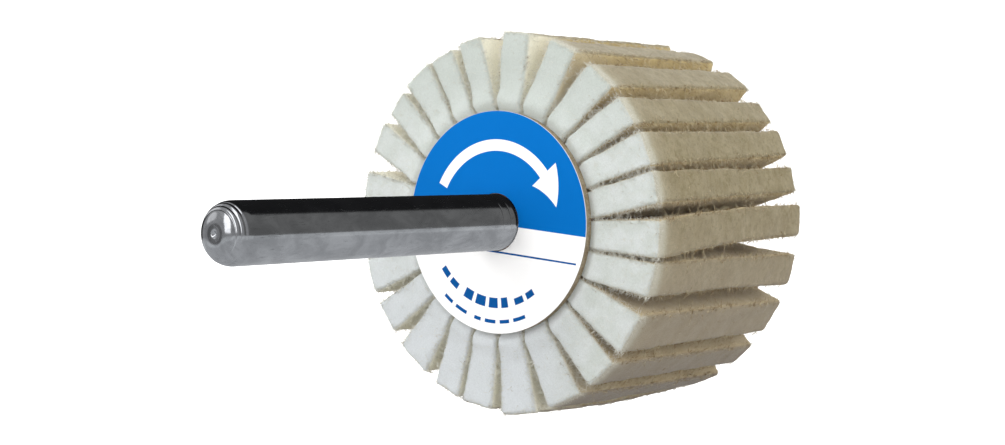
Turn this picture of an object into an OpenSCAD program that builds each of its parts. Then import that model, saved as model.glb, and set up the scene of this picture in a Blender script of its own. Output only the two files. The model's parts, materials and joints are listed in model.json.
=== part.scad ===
// Shank-mounted felt flap polishing wheel.
// The wheel turns about the Y axis. The origin is the centre of the front
// label, where the shank leaves the wheel; the shank runs towards -Y and the
// felt towards +Y. Millimetres.

/* [Wheel] */
// Outside diameter over the flap ends
wheel_d = 40; // [38:0.5:44]
// Width of the felt along the axis
felt_w = 28.5; // [10:0.5:40]
// Front face of the felt, behind the face of the label
felt_front = 1; // [0.6:0.1:1.6]

/* [Flaps] */
// Radius where the flaps come out from under the end discs
neck_r = 12.4; // [12.2:0.1:13]
// Gap left between neighbouring flaps at that radius
neck_gap = 0.4; // [0.3:0.05:0.6]
// Thickness at the back end as a share of the front end
back_share = 0.84; // [0.75:0.01:1]
// Angle of the first flap, above +X
first_angle = 82.5; // [70:0.5:95]

/* [Hub] */
// Radius of the ring of flap roots, which is also the core's radius
root_r = 7.6; // [7.6:0.05:8]
// Radius of the bead at each flap's root
bead_r = 0.75; // [0.6:0.05:0.8]
// Space left round each bead in the core
bead_clear = 0.06; // [0.04:0.01:0.1]
// Diameter of the printed label
label_d = 23.7; // [22:0.1:24]
// Thickness of the printed label
label_t = 0.2; // [0.1:0.05:0.3]
// Thickness of each end disc
disc_t = 0.75; // [0.5:0.05:0.8]
// Side play between the felt and each end disc
side_play = 0.05; // [0.03:0.01:0.1]

/* [Shank] */
// Shank diameter
shank_d = 6; // [3:0.5:6]
// Length of shank standing out of the label
shank_out = 40.2; // [30:0.1:60]
// Radius of the rounded shoulder at the tip
nose_r = 2.2; // [1.4:0.1:2.3]
// Length of shank inside the wheel
shank_in = 29.9; // [12:0.1:42]

/* [Hidden] */

flaps = 24;
pitch = 360 / flaps;
wheel_r = wheel_d / 2;
label_r = label_d / 2;
root_t = bead_r * 1.5;
shank_r = shank_d / 2;
felt_back = felt_front + felt_w;
disc_front = label_t;
core_front = disc_front + disc_t;
core_back = felt_back + side_play;
disc_back = core_back + disc_t;

// How far each flap has settled round from its even place, in degrees:
// at the neck, at the outer end, and how much further round the back end
// of the outer edge sits. Flaps run clockwise seen from the shank.
at_neck = [ 3,  1,  1,    1,    2,   2.5, 2.5, 2.5, 2,   1,   -1,  -1,
           -2.5, -2.5, -2, -3.5, -2.5, -2.5, -2.5, -3, -2, -0.5, 1.5, 3];
at_tip  = [ 2, -1, -2.5, -1.5,  0.5, 4,   3.5, 6.5, 3.5, 2.5, 1.5, -1,
           -2.5,  0, -1.5, -3.5, -3.5, -3.5, -3,  -5, -3.5, -1,  2.5, 5.5];
twist   = [ 1,  1,  2,    1.5,  2.5, 1.5, 3,  -0.5, 1,   0,   -1,   0,
            1,  1,    0.5, 1,    1,    1,    0.5, 1, 0.5, 0.5, 0.5, 0];
// Thickness of each flap at the front of its outer end
tip_t   = [3.5, 3.6, 4, 3.5, 3.7, 3.4, 4, 3.6, 4.9, 4, 4.8, 4.9,
           4.4, 3.6, 4.9, 3.8, 4.1, 3.6, 3.4, 3.6, 3.2, 4.1, 3.3, 3.2];
// How far each flap stands past the nominal radius.
reach   = [0.4, 0.2, 0, -0.1, 0, 0, 0.1, 0, 0, 0.2, 0.4, 0.5,
           0.3, 0.2, 0, 0, 0, 0, 0, -0.1, -0.1, 0, -0.1, 0.1];

function wrap(k) = (k + flaps) % flaps;
function even(k) = first_angle - k * pitch;
function neck_angle(k) = even(k) + at_neck[wrap(k)];
// Seam between flap k and flap k + 1, at the neck.
function seam(k) = (neck_angle(k) + neck_angle(k + 1)) / 2;
function deg(len, r) = len / r * 180 / PI;
// A point at radius r and angle a, in the wheel's plane at depth y.
function at(r, a, y) = [r * cos(a), y, r * sin(a)];
// A point beside the radius at angle a: r out along it, t to its left.
function beside(r, t, a, y) =
    [r * cos(a) - t * sin(a), y, r * sin(a) + t * cos(a)];

// The six corners of flap k at depth y, with its outer end turned by turn
// degrees and its thickness multiplied by share.
function outline(k, y, turn, share) =
    let (e = even(k), half_gap = deg(neck_gap, neck_r) / 2,
         up = seam(k - 1) - half_gap, down = seam(k) + half_gap,
         mid = (up + down) / 2, half = (up - down) / 2,
         s = 1 - (1 - share) * 0.4,
         tip = e + at_tip[k] + turn, h = tip_t[k] * share / 2,
         out = wheel_r + reach[k])
    [beside(root_r, root_t / 2, e, y),
     at(neck_r, mid + half * s, y),
     beside(out, h, tip, y),
     beside(out, -h, tip, y),
     at(neck_r, mid - half * s, y),
     beside(root_r, -root_t / 2, e, y)];

// The wedge of felt: squeezed thin at the root and full at the outer end,
// thicker at the front than at the back.
module wedge(k) {
    front = outline(k, felt_front, 0, 1);
    back = outline(k, felt_back, twist[k], back_share);
    polyhedron(
        points = concat(front, back),
        faces = concat(
            [[0, 1, 5], [1, 4, 5], [1, 2, 4], [2, 3, 4]],
            [[11, 7, 6], [11, 10, 7], [10, 8, 7], [10, 9, 8]],
            [for (i = [0:5]) [i, i + 6, (i + 1) % 6]],
            [for (i = [0:5]) [(i + 1) % 6, i + 6, (i + 1) % 6 + 6]]));
}

// A rounded root that the cast core grips.
module bead(k, r, from, to) {
    c = at(root_r, even(k), from);
    translate(c) rotate([-90, 0, 0])
        cylinder(r = r, h = to - from, $fn = 48);
}

module flap(k) {
    color([0.85, 0.83, 0.76])
    union() {
        wedge(k);
        bead(k, bead_r, felt_front + 0.5, felt_back - 0.5);
    }
}

// Half profile of the shank, as [radius, length along the axis].
function nose_arc(n) =
    [for (i = [0:n]) let (a = 90 * i / n)
        [shank_r - nose_r + nose_r * sin(a),
         nose_r - nose_r * cos(a)]];
// A small centre pip, a slightly domed face, and two turning marks left on
// the shoulder.
function nose() =
    let (p = nose_arc(10))
    concat(
        [[0, 0.3], [0.4, 0.05], [0.6, 0]],
        [for (i = [1:6]) p[i]],
        [p[7], p[7] + [0.02, 0.16], p[8] + [-0.03, -0.04], p[8],
         p[8] + [0.02, 0.16], p[9] + [-0.03, -0.04], p[9], p[10]]);

module shank() {
    out = shank_out;
    profile = concat(
        [for (q = nose()) [q[0], q[1] - out]],
        [[shank_r, 0],
         // undercut behind the label, then three anchor grooves
         [shank_r - 0.3, 0.15],
         [shank_r - 0.3, core_front + 1.2],
         [shank_r, core_front + 1.5]],
        [for (g = [0:2]) let (y = core_front + shank_in * (0.16 + 0.24 * g))
            each [[shank_r, y], [shank_r - 0.5, y + 0.5],
                  [shank_r - 0.5, y + 2.5], [shank_r, y + 3]]],
        [[shank_r, shank_in - 0.3], [shank_r - 0.3, shank_in],
         [0, shank_in]]);
    color([0.62, 0.63, 0.64])
    rotate([-90, 0, 0]) rotate_extrude($fn = 96) polygon(profile);
}

module resin_core() {
    color([0.45, 0.27, 0.12])
    difference() {
        translate([0, core_front, 0]) rotate([-90, 0, 0])
            cylinder(r = root_r, h = core_back - core_front, $fn = 96);
        shank();
        for (k = [0:flaps - 1])
            bead(k, bead_r + bead_clear, core_front - 1, core_back + 1);
    }
}

// A fibre disc bonded to the end of the core, over the flap roots.
module end_disc(from) {
    translate([0, from, 0]) rotate([-90, 0, 0])
        difference() {
            cylinder(r = label_r - 0.05, h = disc_t, $fn = 128);
            translate([0, 0, -1])
                cylinder(r = shank_r + 0.05, h = disc_t + 2, $fn = 96);
        }
}

module front_disc() {
    color([0.55, 0.45, 0.33]) end_disc(disc_front);
}

module rear_disc() {
    color([0.55, 0.45, 0.33]) end_disc(core_back);
}

module front_label() {
    color([0.05, 0.45, 0.8])
    rotate([-90, 0, 0])
        difference() {
            cylinder(r = label_r, h = label_t, $fn = 128);
            translate([0, 0, -1])
                cylinder(r = shank_r + 0.1, h = label_t + 2, $fn = 96);
        }
}

shank();
resin_core();
front_disc();
rear_disc();
front_label();
flap(0);  // flap_01
flap(1);  // flap_02
flap(2);  // flap_03
flap(3);  // flap_04
flap(4);  // flap_05
flap(5);  // flap_06
flap(6);  // flap_07
flap(7);  // flap_08
flap(8);  // flap_09
flap(9);  // flap_10
flap(10);  // flap_11
flap(11);  // flap_12
flap(12);  // flap_13
flap(13);  // flap_14
flap(14);  // flap_15
flap(15);  // flap_16
flap(16);  // flap_17
flap(17);  // flap_18
flap(18);  // flap_19
flap(19);  // flap_20
flap(20);  // flap_21
flap(21);  // flap_22
flap(22);  // flap_23
flap(23);  // flap_24
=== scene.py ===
import json
import math

import bpy
import bmesh
import numpy as np
from mathutils import Matrix, Vector, noise


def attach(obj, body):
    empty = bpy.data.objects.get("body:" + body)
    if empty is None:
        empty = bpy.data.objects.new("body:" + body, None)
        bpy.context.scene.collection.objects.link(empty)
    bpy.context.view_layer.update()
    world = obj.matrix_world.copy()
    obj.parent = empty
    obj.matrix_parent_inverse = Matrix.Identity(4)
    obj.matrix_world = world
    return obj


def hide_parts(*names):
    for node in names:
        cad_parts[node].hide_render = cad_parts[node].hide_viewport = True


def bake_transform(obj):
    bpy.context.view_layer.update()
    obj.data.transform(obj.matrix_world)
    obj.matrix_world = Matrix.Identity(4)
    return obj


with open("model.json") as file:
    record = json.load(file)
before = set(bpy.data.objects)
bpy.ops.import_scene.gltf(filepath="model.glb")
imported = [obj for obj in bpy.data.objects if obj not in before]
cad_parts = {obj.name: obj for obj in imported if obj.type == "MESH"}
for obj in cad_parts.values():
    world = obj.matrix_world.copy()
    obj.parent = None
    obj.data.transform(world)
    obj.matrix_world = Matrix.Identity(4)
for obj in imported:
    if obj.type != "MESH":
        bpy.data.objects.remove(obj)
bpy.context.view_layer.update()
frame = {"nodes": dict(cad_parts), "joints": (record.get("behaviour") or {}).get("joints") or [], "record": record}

MM = 0.001


# ---------------------------------------------------------------- camera
def camera():
    azimuth, elevation = math.radians(38.235), math.radians(1.938)
    target = Vector((0.162, 1.0, -0.053)) * MM
    back = Vector((math.sin(azimuth) * math.cos(elevation),
                   -math.cos(azimuth) * math.cos(elevation),
                   math.sin(elevation)))
    cam = bpy.data.objects.new("camera", bpy.data.cameras.new("camera"))
    bpy.context.scene.collection.objects.link(cam)
    cam.data.sensor_width = 36.0
    cam.data.lens = 64.478
    cam.data.clip_start, cam.data.clip_end = 0.01, 20.0
    cam.location = target + back * (191.96 * MM)
    cam.rotation_mode = "QUATERNION"
    cam.rotation_quaternion = (-back).to_track_quat("-Z", "Y")
    bpy.context.scene.camera = cam
    return cam


camera()


# ---------------------------------------------------------------- node helper
class Nodes:
    """A short way to write node trees."""

    def __init__(self, name):
        self.mat = bpy.data.materials.new(name)
        self.mat.use_nodes = True
        self.t = self.mat.node_tree
        self.t.nodes.clear()
        self.out = self.t.nodes.new("ShaderNodeOutputMaterial")

    def new(self, kind, **props):
        n = self.t.nodes.new("ShaderNode" + kind)
        for k, v in props.items():
            setattr(n, k, v)
        return n

    def link(self, a, b):
        self.t.links.new(a, b)

    def put(self, socket, value):
        if isinstance(value, bpy.types.NodeSocket):
            self.link(value, socket)
        else:
            socket.default_value = value

    def math(self, op, a, b=None, c=None, clamp=False):
        n = self.new("Math", operation=op, use_clamp=clamp)
        self.put(n.inputs[0], a)
        if b is not None:
            self.put(n.inputs[1], b)
        if c is not None:
            self.put(n.inputs[2], c)
        return n.outputs[0]

    def step(self, x, low, high):
        """0 below low, 1 above high, smooth between."""
        n = self.new("MapRange", interpolation_type="SMOOTHSTEP")
        self.put(n.inputs["Value"], x)
        n.inputs["From Min"].default_value = low
        n.inputs["From Max"].default_value = high
        return n.outputs["Result"]

    def mix(self, f, a, b, blend="MIX"):
        n = self.new("Mix", data_type="RGBA", blend_type=blend)
        self.put(n.inputs["Factor"], f)
        for s, v in ((n.inputs[6], a), (n.inputs[7], b)):
            if isinstance(v, bpy.types.NodeSocket):
                self.link(v, s)
            else:
                s.default_value = (*v, 1.0)
        return n.outputs[2]

    def position(self):
        """Metres in the row frame at rest, in millimetres."""
        tc = self.new("TexCoord")
        m = self.new("Mapping")
        m.inputs["Scale"].default_value = (1000, 1000, 1000)
        self.link(tc.outputs["Object"], m.inputs["Vector"])
        return m.outputs["Vector"]

    def noise(self, vector, scale, detail=3.0, rough=0.5, distort=0.0):
        n = self.new("TexNoise")
        self.link(vector, n.inputs["Vector"])
        n.inputs["Scale"].default_value = scale
        n.inputs["Detail"].default_value = detail
        n.inputs["Roughness"].default_value = rough
        n.inputs["Distortion"].default_value = distort
        return n.outputs["Fac"]

    def scaled(self, vector, scale, rotate=(0, 0, 0)):
        m = self.new("Mapping")
        m.inputs["Scale"].default_value = scale
        m.inputs["Rotation"].default_value = rotate
        self.link(vector, m.inputs["Vector"])
        return m.outputs["Vector"]

    def bump(self, height, strength, distance):
        n = self.new("Bump")
        n.inputs["Strength"].default_value = strength
        n.inputs["Distance"].default_value = distance
        self.link(height, n.inputs["Height"])
        return n.outputs["Normal"]

    def surface(self, **sockets):
        p = self.new("BsdfPrincipled")
        for k, v in sockets.items():
            name = {"color": "Base Color", "rough": "Roughness", "metal": "Metallic",
                    "normal": "Normal", "sheen": "Sheen Weight", "sheen_rough": "Sheen Roughness",
                    "spec": "Specular IOR Level", "coat": "Coat Weight",
                    "coat_rough": "Coat Roughness", "sheen_tint": "Sheen Tint",
                    "aniso": "Anisotropic", "subsurface": "Subsurface Weight"}[k]
            s = p.inputs[name]
            if isinstance(v, tuple) and len(v) == 3:
                v = (*v, 1.0)
            self.put(s, v)
        self.link(p.outputs[0], self.out.inputs["Surface"])
        return self.mat


def srgb(r, g, b):
    def one(c):
        c /= 255
        return c / 12.92 if c <= 0.04045 else ((c + 0.055) / 1.055) ** 2.4
    return one(r), one(g), one(b)


# ---------------------------------------------------------------- materials
def felt_material(name, seed):
    """Pressed wool felt: the sawn ends are pale, the outer faces warmer and darker,
    the gap walls browner; the darker outer faces and browner gap walls are part
    the felt's own tone and part painted shade. The colours also carry painted
    light and shade by where a point sits on the wheel. The attribute "zone"
    says which face a point is on, and how deep in a gap it lies for the
    painted gap shade."""
    n = Nodes(name)
    p = n.scaled(n.position(), (1, 1, 1), (0.1 * seed, 0.23 * seed, 0.17 * seed))
    zone = n.new("Attribute", attribute_name="zone").outputs["Vector"]
    sep = n.new("SeparateXYZ")
    n.link(zone, sep.inputs[0])
    front, rim, gap_shade = sep.outputs[0], sep.outputs[1], sep.outputs[2]
    blotch = n.noise(p, 0.55, 3.0, 0.55)
    patch = n.noise(p, 1.7, 4.0, 0.6, 0.3)
    fibre = n.noise(n.scaled(p, (1.0, 1.0, 4.0), (0.5, 0.2, 0.0)), 5.0, 4.0, 0.7, 0.6)
    fibre2 = n.noise(n.scaled(p, (4.0, 1.0, 1.0), (0.0, 0.3, 0.9)), 4.2, 4.0, 0.7, 0.8)
    speck = n.step(n.noise(p, 2.4, 5.0, 0.75, 0.8), 0.62, 0.74)
    sy = n.new("SeparateXYZ")
    n.link(n.position(), sy.inputs[0])
    near = n.math("SUBTRACT", 1.0, n.step(sy.outputs[1], 0.6, 5.5))
    deep = n.math("SUBTRACT", 1.0, n.step(sy.outputs[1], 1.0, 11.0))
    left = n.math("SUBTRACT", 1.0, n.step(sy.outputs[0], 3.0, 13.0))
    low = n.math("SUBTRACT", 1.0, n.step(sy.outputs[2], -14.0, 6.0))
    # the gap walls' own browner tone, kept dark as painted shade on walls turned from the light
    side = n.mix(n.step(blotch, 0.35, 0.65), srgb(174, 152, 98), srgb(188, 169, 118))
    # painted light: a greyer cast on the gap walls of the lower part of the wheel
    side = n.mix(n.math("MULTIPLY", low, 0.6), side, srgb(160, 147, 126))
    # painted light: near the front, the gap walls on the left of the wheel are painted pale cream
    side = n.mix(n.math("MULTIPLY", n.math("MULTIPLY", deep, left), 0.92), side, srgb(234, 233, 216))
    # painted shade: on the right of the wheel the gap walls get dark brown streaks, shaped by the fibre noise
    side = n.mix(n.math("MULTIPLY", n.step(fibre2, 0.52, 0.66), n.math("MULTIPLY", n.math("SUBTRACT", 1.0, left), 0.55)), side, srgb(120, 94, 58))
    # the outer faces' own warmer tan, kept darker than the cut ends as painted shade on faces turned from the light
    outer = n.mix(n.step(blotch, 0.33, 0.67), srgb(124, 112, 78), srgb(137, 126, 94))
    outer = n.mix(n.math("MULTIPLY", n.step(patch, 0.42, 0.68), 0.75), outer, srgb(110, 98, 61))
    # painted light: a lighter, greyer cast on the outer faces of the lower part of the wheel
    outer = n.mix(n.math("MULTIPLY", low, 0.6), outer, srgb(150, 138, 120))
    # painted shade: the outer faces darken at the very bottom of the wheel
    outer = n.mix(n.math("MULTIPLY", n.math("SUBTRACT", 1.0, n.step(sy.outputs[2], -18.0, -13.0)), 0.5), outer, srgb(110, 100, 90))
    outer = n.mix(n.math("MULTIPLY", near, 0.35), outer, srgb(178, 172, 150))
    ragged = n.math("ADD", sy.outputs[1], n.math("MULTIPLY", n.math("SUBTRACT", fibre, 0.5), 3.0))
    outer = n.mix(n.math("MULTIPLY", n.math("SUBTRACT", 1.0, n.step(ragged, 1.2, 2.9)), 0.6), outer, srgb(196, 196, 184))
    cut = n.mix(n.step(blotch, 0.3, 0.7), srgb(192, 198, 193), srgb(202, 207, 205))
    cut = n.mix(n.math("MULTIPLY", n.step(patch, 0.5, 0.8), 0.35), cut, srgb(186, 185, 172))
    # painted light: a cool pale cast on the cut ends at the lower left of the wheel
    cut = n.mix(n.math("MULTIPLY", n.math("MULTIPLY", low, left), 0.8), cut, srgb(202, 207, 211))
    # painted shade: the cut ends are darkened towards the top of the wheel
    cut = n.mix(n.math("MULTIPLY", n.step(sy.outputs[2], 4.0, 18.0), 0.9), cut, srgb(180, 187, 181))
    base = n.mix(rim, side, outer)
    base = n.mix(front, base, cut)
    base = n.mix(n.math("MULTIPLY", speck, 0.4), base, srgb(122, 102, 70))
    hairs = n.math("ADD", n.math("MULTIPLY", fibre, 0.5), n.math("MULTIPLY", fibre2, 0.5))
    tone = n.new("MapRange")
    n.link(hairs, tone.inputs["Value"])
    tone.inputs["From Min"].default_value = 0.3
    tone.inputs["From Max"].default_value = 0.7
    tone.inputs["To Min"].default_value = 0.78
    tone.inputs["To Max"].default_value = 1.18
    grey = n.new("CombineXYZ")
    for i in range(3):
        n.link(tone.outputs["Result"], grey.inputs[i])
    base = n.mix(1.0, base, grey.outputs[0], "MULTIPLY")
    # painted shade: deep in the gaps between flaps, except on the left of the wheel, the felt is darkened to brown
    base = n.mix(n.math("MULTIPLY", n.math("MULTIPLY", gap_shade, 0.35), n.math("SUBTRACT", 1.0, left)), base, srgb(160, 128, 84))
    normal = n.bump(n.math("ADD", hairs, n.math("MULTIPLY", patch, 0.6)), 0.55, 0.00012)
    return n.surface(color=base, rough=0.95, spec=0.15, sheen=0.25, sheen_rough=0.6, normal=normal)


def fuzz_material():
    n = Nodes("felt_fibres")
    p = n.position()
    sep = n.new("SeparateXYZ")
    n.link(p, sep.inputs[0])
    pick = n.noise(p, 2.4, 3.0)
    c = n.mix(n.step(pick, 0.34, 0.66), srgb(118, 92, 56), srgb(196, 185, 154))
    ends = n.math("ADD", n.math("SUBTRACT", 1.0, n.step(sep.outputs[1], 1.1, 2.6)), n.step(sep.outputs[1], 27.9, 29.4))
    left = n.math("SUBTRACT", 1.0, n.step(sep.outputs[0], 2.0, 12.0))
    # paler hairs near the two cut ends, like the pale cut felt, and on the left of the wheel as painted light
    pale = n.math("MULTIPLY", n.math("MAXIMUM", ends, n.math("MULTIPLY", left, 0.8)), n.step(pick, 0.28, 0.42))
    c = n.mix(pale, c, srgb(204, 203, 192))
    return n.surface(color=c, rough=0.9, spec=0.2, sheen=0.2)


def steel_material():
    n = Nodes("turned_steel")
    p = n.position()
    lines = n.noise(n.scaled(p, (0.15, 9.0, 0.15)), 2.0, 3.0, 0.6)
    scratch = n.step(n.noise(n.scaled(p, (3.0, 0.35, 3.0), (0.2, 0.1, 0.3)), 1.6, 5.0, 0.7, 1.2), 0.57, 0.70)
    stain = n.noise(n.scaled(p, (1.0, 0.6, 1.0), (0.3, 0.0, 0.4)), 0.5, 4.0, 0.65, 0.5)
    c = n.mix(n.step(stain, 0.3, 0.75), srgb(178, 180, 182), srgb(210, 212, 214))
    c = n.mix(n.math("MULTIPLY", scratch, 0.5), c, srgb(128, 129, 132))
    r = n.math("ADD", 0.07, n.math("ADD", n.math("MULTIPLY", lines, 0.08), n.math("MULTIPLY", scratch, 0.25)))
    normal = n.bump(n.math("ADD", lines, n.math("MULTIPLY", scratch, 0.5)), 0.06, 0.00004)
    return n.surface(color=c, metal=1.0, rough=r, normal=normal)


def fibre_board_material():
    n = Nodes("fibre_board")
    p = n.position()
    a = n.noise(p, 1.6, 5.0, 0.65, 0.5)
    b = n.noise(n.scaled(p, (5.0, 1.0, 1.2), (0, 0.7, 0)), 2.4, 3.0, 0.6)
    c = n.mix(n.step(a, 0.35, 0.68), srgb(136, 122, 98), srgb(168, 156, 132))
    c = n.mix(n.math("MULTIPLY", n.step(b, 0.5, 0.7), 0.45), c, srgb(110, 90, 64))
    normal = n.bump(n.math("ADD", a, b), 0.4, 0.0001)
    return n.surface(color=c, rough=0.85, spec=0.3, normal=normal)


def resin_material():
    n = Nodes("cast_resin")
    p = n.position()
    a = n.noise(p, 1.1, 4.0, 0.6, 0.4)
    c = n.mix(n.step(a, 0.35, 0.65), srgb(96, 62, 30), srgb(134, 92, 48))
    normal = n.bump(a, 0.3, 0.0002)
    return n.surface(color=c, rough=0.45, spec=0.5, normal=normal)


def label_material():
    """Printed paper: upper part blue, lower part white, with plain marks."""
    n = Nodes("printed_label")
    p = n.position()
    sep = n.new("SeparateXYZ")
    n.link(p, sep.inputs[0])
    x, y, z = sep.outputs
    r = n.math("SQRT", n.math("ADD", n.math("MULTIPLY", x, x), n.math("MULTIPLY", z, z)))
    ang = n.math("ARCTAN2", z, x)
    soft = 0.02

    def inside(v, low, high):
        return n.math("MULTIPLY", n.step(v, low - soft, low + soft),
                      n.math("SUBTRACT", 1.0, n.step(v, high - soft, high + soft)))

    def either(a, b):
        return n.math("MAXIMUM", a, b)

    def both(a, b):
        return n.math("MULTIPLY", a, b)

    def arc(low_deg, high_deg):
        w = 0.004
        return n.math("MULTIPLY", n.step(ang, math.radians(low_deg) - w, math.radians(low_deg) + w),
                      n.math("SUBTRACT", 1.0, n.step(ang, math.radians(high_deg) - w, math.radians(high_deg) + w)))

    # height above the line between the two colours, which slopes a little
    tilt = math.radians(-5.4)
    up = n.math("ADD", n.math("MULTIPLY", x, -math.sin(tilt)), n.math("MULTIPLY", z, math.cos(tilt)))
    along = n.math("ADD", n.math("MULTIPLY", x, math.cos(tilt)), n.math("MULTIPLY", z, math.sin(tilt)))
    blue = both(n.step(up, -0.20 - soft, -0.20 + soft), n.math("SUBTRACT", 1.0, n.step(r, 11.80, 11.86)))
    grain = n.noise(p, 8.0, 3.0, 0.6)
    ink = n.mix(n.math("MULTIPLY", grain, 0.25), srgb(0, 104, 184), srgb(0, 109, 189))
    paper = n.mix(n.math("MULTIPLY", grain, 0.4), srgb(254, 254, 254), srgb(249, 250, 251))
    c = n.mix(blue, paper, ink)
    # a curved turning arrow in the blue part
    bow = both(inside(r, 7.6, 8.8), arc(38.0, 152.0))
    head_w = n.math("MULTIPLY", n.math("SUBTRACT", ang, math.radians(12.0)), 1.9 / math.radians(26.0))
    head = both(n.math("LESS_THAN", n.math("ABSOLUTE", n.math("SUBTRACT", r, 8.2)), head_w), arc(12.0, 38.5))
    c = n.mix(either(bow, head), c, srgb(246, 248, 250))
    # a thin rule and rows of short bars in the white part
    rule = both(inside(up, -3.22, -3.02), both(inside(along, -10.6, 10.9), n.math("LESS_THAN", r, 11.4)))
    marks = rule
    for radius, half, spans in (
            (8.6, 0.55, [(-119, -111), (-108, -99), (-96, -88), (-85, -79)]),
            (8.75, 0.36, [(-145, -137), (-134, -126), (-73, -65), (-62, -55)]),
            (10.6, 0.2, [(-131, -124), (-121, -112), (-106, -101), (-98, -90), (-87, -80), (-77, -68)])):
        row = None
        for a, b in spans:
            s = arc(a, b)
            row = s if row is None else either(row, s)
        marks = either(marks, both(inside(r, radius - half, radius + half), row))
    c = n.mix(marks, c, srgb(10, 82, 150))
    # painted shade: the label's thin side edge is coloured greyish tan
    edge = n.step(y, 0.03, 0.1)
    c = n.mix(edge, c, srgb(150, 141, 124))
    normal = n.bump(n.noise(p, 3.0, 4.0, 0.6), 0.05, 0.0001)
    return n.surface(color=c, rough=0.75, spec=0.04, normal=normal)


# ---------------------------------------------------------------- flaps
def lagrange(xs, ys, x):
    total = 0
    for i in range(3):
        term = ys[i]
        for j in range(3):
            if j != i:
                term = term * (x - xs[j]) / (xs[i] - xs[j])
        total = total + term
    return total


def spaced(length, radius, step):
    """Places along a side, closer together in the rounded part at each end."""
    near = radius * np.array([0, 0.15, 0.4, 0.7, 1.0])
    middle = np.linspace(radius, length - radius, max(3, int(round((length - 2 * radius) / step)) + 1))
    return np.concatenate([near[:-1], middle, (length - near[:-1])[::-1]])


def corners_of(node):
    """The flap's corners from its CAD solid: ends at the front and back, each
    as [neck low, neck high, tip low, tip high] in the wheel's plane."""
    co = np.array([v.co for v in node.data.vertices], float) * 1000
    r = np.hypot(co[:, 0], co[:, 2])
    mid = np.array([co[:, 0][r > 18].mean(), co[:, 2][r > 18].mean()])
    u = mid / np.linalg.norm(mid)
    side = np.array([-u[1], u[0]])
    across = co[:, [0, 2]] @ side
    found = []
    for end in (co[:, 1].min(), co[:, 1].max()):
        here = np.abs(co[:, 1] - end) < 0.01
        row = []
        for zone in ((r > 11.5) & (r < 13.5), r > 18):
            pick = np.where(here & zone)[0]
            lo, hi = pick[across[pick].argmin()], pick[across[pick].argmax()]
            row += [co[lo][[0, 2]], co[hi][[0, 2]]]
        found.append(np.array(row))
    return found, co[:, 1].min(), co[:, 1].max()


def flap_points(front, back, root, r_in, length, a, b, c):
    """Maps a (0..1 outwards), b (-1..1 across) and c (0..1 along the axis)
    to a point of the bent, tapering flap, in millimetres."""
    cc = c[:, None]
    n_lo, n_hi = front[0] * (1 - cc) + back[0] * cc, front[1] * (1 - cc) + back[1] * cc
    t_lo, t_hi = front[2] * (1 - cc) + back[2] * cc, front[3] * (1 - cc) + back[3] * cc
    root_dir = root / np.linalg.norm(root)
    root_side = np.array([-root_dir[1], root_dir[0]])
    k_lo, k_hi = root - root_side * 0.56, root + root_side * 0.56
    share = 0.385
    aa = a[:, None]

    def edge(k, nn, t):
        smooth = lagrange([0.0, share, 1.0], [k, nn, t], aa)
        bent = np.where(aa < share, k + (nn - k) * aa / share, nn + (t - nn) * (aa - share) / (1 - share))
        return 0.5 * smooth + 0.5 * bent

    lo, hi = edge(k_lo, n_lo, t_lo), edge(k_hi, n_hi, t_hi)
    w = ((b + 1) / 2)[:, None]
    return lo * (1 - w) + hi * w


# How single flaps have settled, in millimetres at the outer edge: further out
# (all along, at the back, half-way), turned anticlockwise (at the back,
# half-way), and how much wider the back end is.
SETTLED = {1: (-0.20, 0.0, 0.0, 0.0, 0.0, 0.0), 2: (0.0, -0.15, 0.0, 0.0, 0.0, 0.0),
           7: (0.0, 0.15, 0.0, 0.30, 0.35, 0.04), 8: (0.0, 0.1, 0.0, 0.0, 0.12, 0.20),
           9: (0.0, 0.25, 0.0, -0.12, 0.0, 0.05), 10: (0.0, 0.2, 0.0, -0.1, 0.0, 0.05),
           11: (0.0, 0.2, 0.1, -0.1, 0.0, 0.05), 12: (0.0, 0.1, 0.42, -0.1, -0.15, 0.05)}


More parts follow.
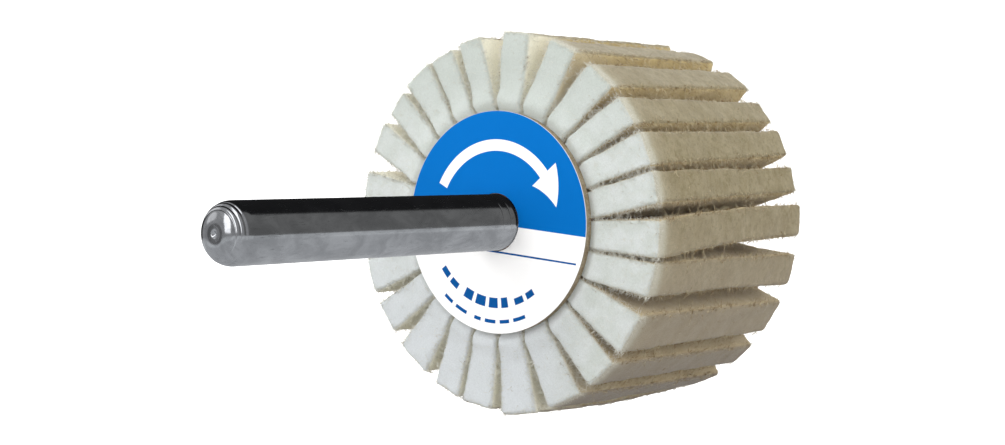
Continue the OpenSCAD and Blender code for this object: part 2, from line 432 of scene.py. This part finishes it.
def flap_mesh(name, node, joint, seed):
    (front, back), y0, y1 = corners_of(node)
    root = np.array([joint["pos_m"][0], joint["pos_m"][2]]) * 1000
    La = np.linalg.norm((front[2] + front[3]) / 2) - np.linalg.norm(root)
    Lb, Lc, rad = 3.4, y1 - y0, 0.42
    A, B, C = spaced(La, rad, 0.42), spaced(Lb, rad, 0.34), spaced(Lc, rad, 0.5)
    index, pts, faces = {}, [], []

    def vert(i, j, k):
        key = (i, j, k)
        if key not in index:
            index[key] = len(pts)
            pts.append((A[i], B[j], C[k]))
        return index[key]

    na, nb, nc = len(A) - 1, len(B) - 1, len(C) - 1
    for i in range(na):
        for j in range(nb):
            faces.append((vert(i, j, 0), vert(i + 1, j, 0), vert(i + 1, j + 1, 0), vert(i, j + 1, 0)))
            faces.append((vert(i, j, nc), vert(i, j + 1, nc), vert(i + 1, j + 1, nc), vert(i + 1, j, nc)))
    for i in range(na):
        for k in range(nc):
            faces.append((vert(i, 0, k), vert(i, 0, k + 1), vert(i + 1, 0, k + 1), vert(i + 1, 0, k)))
            faces.append((vert(i, nb, k), vert(i + 1, nb, k), vert(i + 1, nb, k + 1), vert(i, nb, k + 1)))
    for j in range(nb):
        for k in range(nc):
            faces.append((vert(0, j, k), vert(0, j + 1, k), vert(0, j + 1, k + 1), vert(0, j, k + 1)))
            faces.append((vert(na, j, k), vert(na, j, k + 1), vert(na, j + 1, k + 1), vert(na, j + 1, k)))
    p = np.array(pts)
    L = np.array([La, Lb, Lc])
    core = np.clip(p, rad, L - rad)
    d = p - core
    length = np.linalg.norm(d, axis=1, keepdims=True)
    unit = np.divide(d, length, out=np.zeros_like(d), where=length > 1e-9)
    p = core + unit * rad
    swell = 1 + 0.09 * np.exp(-((p[:, 0] - 4.8) / 2.2) ** 2)
    push, push_back, bow, turn, turn_bow, widen = SETTLED.get(seed, (0.0,) * 6)
    along, outward = p[:, 2] / Lc, np.clip(p[:, 0] / La, 0, 1) ** 2
    swell = swell + widen * along * outward
    flat = flap_points(front, back, root, 7.6, La, p[:, 0] / La, (p[:, 1] / Lb * 2 - 1) * swell, p[:, 2] / Lc)
    out = (front[2] + front[3]) / 2
    out = out / np.linalg.norm(out)
    middle = np.sin(math.pi * along)
    flat = flat + ((push + push_back * along + bow * middle) * outward)[:, None] * out
    flat = flat + ((turn * along + turn_bow * middle) * outward)[:, None] * np.array([-out[1], out[0]])
    xyz = np.c_[flat[:, 0], y0 + p[:, 2], flat[:, 1]]
    # which face each point is on, from the rounded box's own normal, and how far into a gap it lies, for the painted
    # gap shade
    front_zone = np.clip((-unit[:, 2] - 0.35) / 0.45, 0, 1)
    back_zone = np.clip((unit[:, 2] - 0.35) / 0.45, 0, 1)
    rim_zone = np.clip((unit[:, 0] - 0.3) / 0.45, 0, 1) * (1 - front_zone)
    reach = p[:, 0] / La
    side = 1 - np.clip(front_zone + rim_zone + back_zone, 0, 1)
    # painted shade amount for the gaps, on the side faces, growing towards the hub
    gap_shade = side * np.clip((0.9 - reach) / 0.55, 0, 1)
    mesh = bpy.data.meshes.new(name)
    mesh.from_pydata((xyz * MM).tolist(), [], faces)
    mesh.update()
    # felt is never flat: slow swelling, then the lumps of the pressed wool
    normals = np.zeros(len(mesh.vertices) * 3, np.float32)
    mesh.vertices.foreach_get("normal", normals)
    normals = normals.reshape(-1, 3).astype(float)
    off = np.array([seed * 7.3, seed * 3.1, seed * 5.7])
    slow = np.array([noise.noise(Vector(q)) for q in xyz * 0.22 + off])
    lump = np.array([noise.noise(Vector(q)) for q in xyz * 0.9 + off])
    fine = np.array([noise.noise(Vector(q)) for q in xyz * 2.6 + off])
    r = np.hypot(xyz[:, 0], xyz[:, 2])
    free = np.clip((r - 11.9) / 1.2, 0, 1)
    move = (0.14 * slow + 0.07 * lump + 0.035 * fine) * free
    xyz = xyz + normals * move[:, None]
    puff = np.exp(-((r - 13.0) / 1.1) ** 2) * np.clip((r - 11.95) / 0.5, 0, 1)
    xyz[:, 1] += puff * (np.clip(unit[:, 2], 0, 1) - np.clip(-unit[:, 2], 0, 1)) * 0.38
    mesh.vertices.foreach_set("co", (xyz * MM).astype(np.float32).ravel())
    zone = mesh.attributes.new("zone", "FLOAT_VECTOR", "POINT")
    zone.data.foreach_set("vector", np.c_[np.clip(front_zone + back_zone, 0, 1), rim_zone, gap_shade].astype(np.float32).ravel())
    mesh.polygons.foreach_set("use_smooth", [True] * len(mesh.polygons))
    mesh.update()
    obj = bpy.data.objects.new(name, mesh)
    bpy.context.scene.collection.objects.link(obj)
    return obj, xyz, normals, unit, reach


def fuzz_mesh(name, xyz, normals, unit, reach, rng, count):
    """Loose wool hairs that stand out of the felt, most of them along the
    cut edges. Each is a thin closed tapering stalk of three sides."""
    edge = (np.abs(unit) > 0.25).sum(axis=1) >= 2
    r = np.hypot(xyz[:, 0], xyz[:, 2])
    weight = np.where(edge, 9.0, 0.8) * (r > 12.0)
    weight = weight * np.where(unit[:, 2] < -0.25, 2.2, 1.0)
    weight = weight * np.where((np.abs(unit) > 0.2).all(axis=1), 0.12, 1.0)
    weight = weight + 1.6 * (np.abs(unit[:, 1]) > 0.9) * (reach > 0.6)
    pick = rng.choice(len(xyz), size=count, p=weight / weight.sum())
    base = xyz[pick] + rng.normal(0, 0.12, (count, 3))
    n = normals[pick] + rng.normal(0, 0.55, (count, 3))
    outward = xyz[pick] * [1, 0, 1]
    outward /= np.linalg.norm(outward, axis=1, keepdims=True)
    long_edge = ((unit[pick, 0] > 0.2) & (np.abs(unit[pick, 1]) > 0.2))[:, None]
    n = np.where(long_edge, n - outward * np.clip((n * outward).sum(1, keepdims=True) - 0.1, 0, None) * 0.9, n)
    n /= np.linalg.norm(n, axis=1, keepdims=True)
    bend = rng.normal(0, 1, (count, 3))
    bend -= n * (bend * n).sum(1, keepdims=True)
    bend /= np.linalg.norm(bend, axis=1, keepdims=True)
    length = rng.gamma(4.0, 0.085, count)[:, None]
    length = np.where(long_edge, length * 1.35, np.where(unit[pick, 0:1] > 0.3, length * 0.5, length))
    thick = rng.uniform(0.016, 0.036, count)[:, None] * np.where(long_edge, 1.25, 1.0)
    base = base - n * 0.12
    side2 = np.cross(n, bend)
    rings = []
    for s in (0.0, 0.4, 0.75, 1.0):
        mid = base + n * ((length + 0.12) * s) + bend * (length * 0.9 * s * s)
        width = thick * (1.0 - 0.75 * s)
        for a in (0, 2.0944, 4.18879):
            rings.append(mid + (bend * math.cos(a) + side2 * math.sin(a)) * width)
    # a hair that would stand far past the wheel's outline is left out
    tip = rings[-1]
    keep = (np.hypot(tip[:, 0], tip[:, 2]) < r.max() + 0.3)
    keep &= (tip[:, 1] > xyz[:, 1].min() - 0.35) & (tip[:, 1] < xyz[:, 1].max() + 0.35)
    rings = [q[keep] for q in rings]
    count = int(keep.sum())
    verts = np.stack(rings, axis=1).reshape(-1, 3)
    tri = []
    for level in range(3):
        for a in range(3):
            q, w = level * 3 + a, level * 3 + (a + 1) % 3
            tri.append((q, w, w + 3, q + 3))
    start = np.arange(count) * 12
    quads = (start[:, None, None] + np.array(tri)[None]).reshape(-1, 4)
    caps = (start[:, None, None] + np.array([(0, 2, 1), (9, 10, 11)])[None]).reshape(-1, 3)
    mesh = bpy.data.meshes.new(name)
    mesh.from_pydata((verts * MM).tolist(), [], quads.tolist() + caps.tolist())
    mesh.update()
    obj = bpy.data.objects.new(name, mesh)
    bpy.context.scene.collection.objects.link(obj)
    return obj


body_of_node = {n: b for b, ns in frame["record"]["behaviour"]["bodies"].items() for n in ns}
joint_of_body = {j["child"]: j for j in frame["joints"]}
felts = [felt_material(f"felt_{i}", i + 1) for i in range(3)]
hair = fuzz_material()
rng = np.random.default_rng(11)
for number in range(1, 25):
    node = f"flap_{number:02d}"
    body = body_of_node[node]
    obj, xyz, normals, unit, reach = flap_mesh(f"felt_{node}", frame["nodes"][node], joint_of_body[body], number)
    obj.data.materials.append(felts[number % 3])
    obj.visible_glossy = False
    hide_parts(node)
    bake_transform(obj)
    fuzz = fuzz_mesh(f"fibres_{node}", xyz, normals, unit, reach, rng, 1900)
    fuzz.data.materials.append(hair)
    fuzz.visible_glossy = False
    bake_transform(fuzz)

# ---------------------------------------------------------------- shank
def shank_mesh(name):
    """The turned pin: a dimpled tip, three fine tool rings on the rounded
    shoulder, a faint ring by the label, and anchor grooves inside."""
    radius, nose, tip = 3.0, 2.2, -40.2
    prof = [(0.0, tip + 0.30), (0.10, tip + 0.26), (0.26, tip + 0.10), (0.34, tip + 0.02),
            (0.42, tip), (0.60, tip + 0.012), (0.72, tip)]
    for step in range(1, 121):
        t = math.pi / 2 * step / 120
        cut = sum(0.055 * math.exp(-((math.degrees(t) - at) / 2.3) ** 2) for at in (40.0, 53.0, 66.0))
        cut -= sum(0.022 * math.exp(-((math.degrees(t) - at) / 2.6) ** 2) for at in (46.0, 59.5))
        prof.append((radius - nose + (nose - cut) * math.sin(t), tip + nose - (nose - cut) * math.cos(t)))
    y = tip + nose
    while y < -0.6:
        y += 0.5
        prof.append((radius, y))
    for at in (-2.3, -1.1):
        prof = [q for q in prof if abs(q[1] - at) > 0.2]
        prof += [(radius - 0.03 * math.exp(-(d / 0.05) ** 2), at + d) for d in (-0.15, -0.08, -0.04, 0, 0.04, 0.08, 0.15)]
    prof = sorted(prof[:8], key=lambda q: q[0]) + sorted(prof[8:], key=lambda q: q[1])
    prof += [(radius, -0.05), (radius - 0.3, 0.15), (radius - 0.3, 2.15), (radius, 2.45)]
    for g in range(3):
        y = 0.95 + 29.9 * (0.16 + 0.24 * g)
        prof += [(radius, y), (radius - 0.5, y + 0.5), (radius - 0.5, y + 2.5), (radius, y + 3)]
    prof += [(radius, 29.6), (radius - 0.3, 29.9), (0.0, 29.9)]
    segs = 160
    verts, rows = [], []
    for r, y in prof:
        if r == 0:
            rows.append([len(verts)] * segs)
            verts.append((0, y, 0))
        else:
            rows.append(list(range(len(verts), len(verts) + segs)))
            verts += [(r * math.cos(2 * math.pi * i / segs), y, r * math.sin(2 * math.pi * i / segs)) for i in range(segs)]
    faces = []
    for a, b in zip(rows, rows[1:]):
        for i in range(segs):
            j = (i + 1) % segs
            quad = []
            for v in (a[i], b[i], b[j], a[j]):
                if v not in quad:
                    quad.append(v)
            faces.append(tuple(reversed(quad)))
    mesh = bpy.data.meshes.new(name)
    mesh.from_pydata([(x * MM, y * MM, z * MM) for x, y, z in verts], [], faces)
    bm = bmesh.new()
    bm.from_mesh(mesh)
    bmesh.ops.recalc_face_normals(bm, faces=bm.faces)
    bm.to_mesh(mesh)
    bm.free()
    mesh.polygons.foreach_set("use_smooth", [True] * len(mesh.polygons))
    mesh.update()
    obj = bpy.data.objects.new(name, mesh)
    bpy.context.scene.collection.objects.link(obj)
    return obj


pin = shank_mesh("turned_shank")
steel = steel_material()
pin.data.materials.append(steel)
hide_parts("shank")
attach(pin, "hub")

# ---------------------------------------------------------------- hub
for node, mat in (("shank", steel), ("front_label", label_material()),
                  ("resin_core", resin_material()), ("front_disc", fibre_board_material()),
                  ("rear_disc", None)):
    o = frame["nodes"][node]
    o.data.materials.clear()
    o.data.materials.append(mat or frame["nodes"]["front_disc"].data.materials[0])
    o.visible_glossy = node == "shank"


# ---------------------------------------------------------------- studio
def floor():
    """A pale round floor that curves up into a wall all round."""
    low, steps = -0.075, 20
    flat_r, cove = 1.6, 0.8
    profile = [(0.0, low), (0.4, low), (0.9, low), (flat_r, low)]
    profile += [(flat_r + cove * math.sin(math.pi / 2 * i / steps),
                 low + cove * (1 - math.cos(math.pi / 2 * i / steps))) for i in range(1, steps + 1)]
    profile.append((flat_r + cove, low + 2.2))
    segs = 96
    verts, faces = [(0, 0, low)], []
    for r, z in profile[1:]:
        for s in range(segs):
            a = 2 * math.pi * s / segs
            verts.append((r * math.cos(a), r * math.sin(a), z))
    for s in range(segs):
        faces.append((0, 1 + s, 1 + (s + 1) % segs))
    for i in range(len(profile) - 2):
        for s in range(segs):
            a, b = 1 + i * segs + s, 1 + i * segs + (s + 1) % segs
            faces.append((a, a + segs, b + segs, b))
    mesh = bpy.data.meshes.new("floor")
    mesh.from_pydata(verts, [], faces)
    mesh.polygons.foreach_set("use_smooth", [True] * len(mesh.polygons))
    mesh.update()
    o = bpy.data.objects.new("floor", mesh)
    bpy.context.scene.collection.objects.link(o)
    n = Nodes("pale_floor")
    p = n.new("BsdfPrincipled")
    p.inputs["Base Color"].default_value = (0.9, 0.9, 0.9, 1)
    p.inputs["Roughness"].default_value = 0.9
    p.inputs["Emission Color"].default_value = (1, 1, 1, 1)
    where = n.new("SeparateXYZ")
    n.link(n.new("TexCoord").outputs["Object"], where.inputs[0])
    x, y = where.outputs[0], where.outputs[1]
    r = n.math("SQRT", n.math("ADD", n.math("MULTIPLY", x, x), n.math("MULTIPLY", y, y)))
    glow = n.math("ADD", 0.38, n.math("MULTIPLY", n.math("SUBTRACT", 1.0, n.step(r, 1.1, 2.1)), 0.28))
    n.link(glow, p.inputs["Emission Strength"])
    n.link(p.outputs[0], n.out.inputs["Surface"])
    o.data.materials.append(n.mat)
    return o


def area(name, place, aim, size, power, colour=(1, 1, 1)):
    data = bpy.data.lights.new(name, "AREA")
    data.shape, data.size, data.energy, data.color = "DISK", size, power, colour
    o = bpy.data.objects.new(name, data)
    bpy.context.scene.collection.objects.link(o)
    o.location = Vector(place)
    o.rotation_mode = "QUATERNION"
    o.rotation_quaternion = (Vector(aim) - Vector(place)).to_track_quat("-Z", "Y")
    return o


def plain(name, colour, emit):
    n = Nodes(name)
    p = n.new("BsdfPrincipled")
    p.inputs["Base Color"].default_value = (*colour, 1)
    p.inputs["Roughness"].default_value = 1.0
    p.inputs["Specular IOR Level"].default_value = 0.0
    p.inputs["Emission Color"].default_value = (1, 1, 1, 1)
    p.inputs["Emission Strength"].default_value = emit
    n.link(p.outputs[0], n.out.inputs["Surface"])
    return n.mat


def card(name, place, aim, size, mat):
    """A round studio card. It shades the object and is never seen itself."""
    seg = 48
    verts = [(size * math.cos(2 * math.pi * i / seg), size * math.sin(2 * math.pi * i / seg), 0) for i in range(seg)]
    mesh = bpy.data.meshes.new(name)
    mesh.from_pydata(verts, [], [tuple(range(seg))])
    o = bpy.data.objects.new(name, mesh)
    bpy.context.scene.collection.objects.link(o)
    o.location = Vector(place)
    o.rotation_mode = "QUATERNION"
    o.rotation_quaternion = (Vector(aim) - Vector(place)).to_track_quat("-Z", "Y")
    o.data.materials.append(mat)
    o.visible_camera = o.visible_glossy = o.visible_shadow = False
    return o


def reflections():
    """What the polished steel sees: a dark room above and behind on the left,
    a grey wall behind on the right, and a light table below."""
    segs, rings, radius = 64, 32, 0.5
    verts, faces = [], []
    for i in range(rings + 1):
        t = math.pi * i / rings
        for j in range(segs):
            a = 2 * math.pi * j / segs
            verts.append((radius * math.sin(t) * math.cos(a), radius * math.sin(t) * math.sin(a), radius * math.cos(t)))
    for i in range(rings):
        for j in range(segs):
            a, b = i * segs + j, i * segs + (j + 1) % segs
            faces.append((a, a + segs, b + segs, b))
    mesh = bpy.data.meshes.new("reflected_room")
    mesh.from_pydata(verts, [], faces)
    o = bpy.data.objects.new("reflected_room", mesh)
    bpy.context.scene.collection.objects.link(o)
    n = Nodes("reflected_room")
    p = n.scaled(n.new("TexCoord").outputs["Object"], (1 / radius,) * 3)
    sep = n.new("SeparateXYZ")
    n.link(p, sep.inputs[0])
    x, y, z = sep.outputs
    above = n.step(z, -0.13, -0.09)
    behind = n.step(y, -0.15, 0.15)
    left = n.math("SUBTRACT", 1.0, n.step(x, 0.26, 0.34))
    level = n.mix(above, (0.49, 0.50, 0.52), (0.35, 0.35, 0.36))
    level = n.mix(n.math("MULTIPLY", above, behind), level, (0.17, 0.17, 0.17))
    level = n.mix(n.math("MULTIPLY", n.math("MULTIPLY", above, behind), left), level, (0.016, 0.016, 0.017))
    line = n.math("MULTIPLY", n.step(z, -0.30, -0.24), n.math("SUBTRACT", 1.0, n.step(z, -0.14, -0.10)))
    level = n.mix(n.math("MULTIPLY", line, n.step(n.noise(n.scaled(p, (1, 1, 1)), 3.0, 2.0), 0.35, 0.6)), level, (0.66, 0.68, 0.70))
    strip = n.math("SUBTRACT", 1.0, n.step(n.math("ABSOLUTE", n.math("ADD", x, 0.04)), 0.19, 0.26))
    strip = n.math("MULTIPLY", strip, n.math("MULTIPLY", n.step(z, -0.02, 0.06), n.math("SUBTRACT", 1.0, n.step(z, 0.84, 0.92))))
    strip = n.math("MULTIPLY", strip, n.math("SUBTRACT", 1.0, n.step(y, -0.4, -0.3)))
    level = n.mix(strip, level, (1.9, 1.9, 1.94))
    for (lx, ly, lz), low, high, bright in (((-0.62, -0.784, -0.03), 0.986, 0.993, 0.17), ((-0.80, -0.48, 0.36), 0.96, 0.98, 0.85)):
        dot = n.new("VectorMath", operation="DOT_PRODUCT")
        n.link(p, dot.inputs[0])
        dot.inputs[1].default_value = (lx, ly, lz)
        level = n.mix(n.step(dot.outputs["Value"], low, high), level, (bright, bright, bright * 1.02))
    e = n.new("Emission")
    n.link(level, e.inputs["Color"])
    n.link(e.outputs[0], n.out.inputs["Surface"])
    o.data.materials.append(n.mat)
    o.visible_camera = o.visible_diffuse = o.visible_shadow = o.visible_transmission = False


ground = floor()
ground.visible_glossy = False
reflections()
dark = plain("dark_card", (0.3, 0.28, 0.26), 0.0)
card("card_below", (0, 0.01, -0.055), (0, 0.01, 0), 0.2, dark)
world = bpy.data.worlds.new("studio")
bpy.context.scene.world = world
world.use_nodes = True
world.node_tree.nodes["Background"].inputs["Color"].default_value = (1, 1, 1, 1)
world.node_tree.nodes["Background"].inputs["Strength"].default_value = 1.12
area("key", (-0.25, -0.45, 0.45), (0, 0.01, 0), 0.35, 0.78)
bpy.context.scene.view_settings.view_transform = "Standard"
bpy.context.scene.view_settings.look = "None"

bpy.context.view_layer.update()
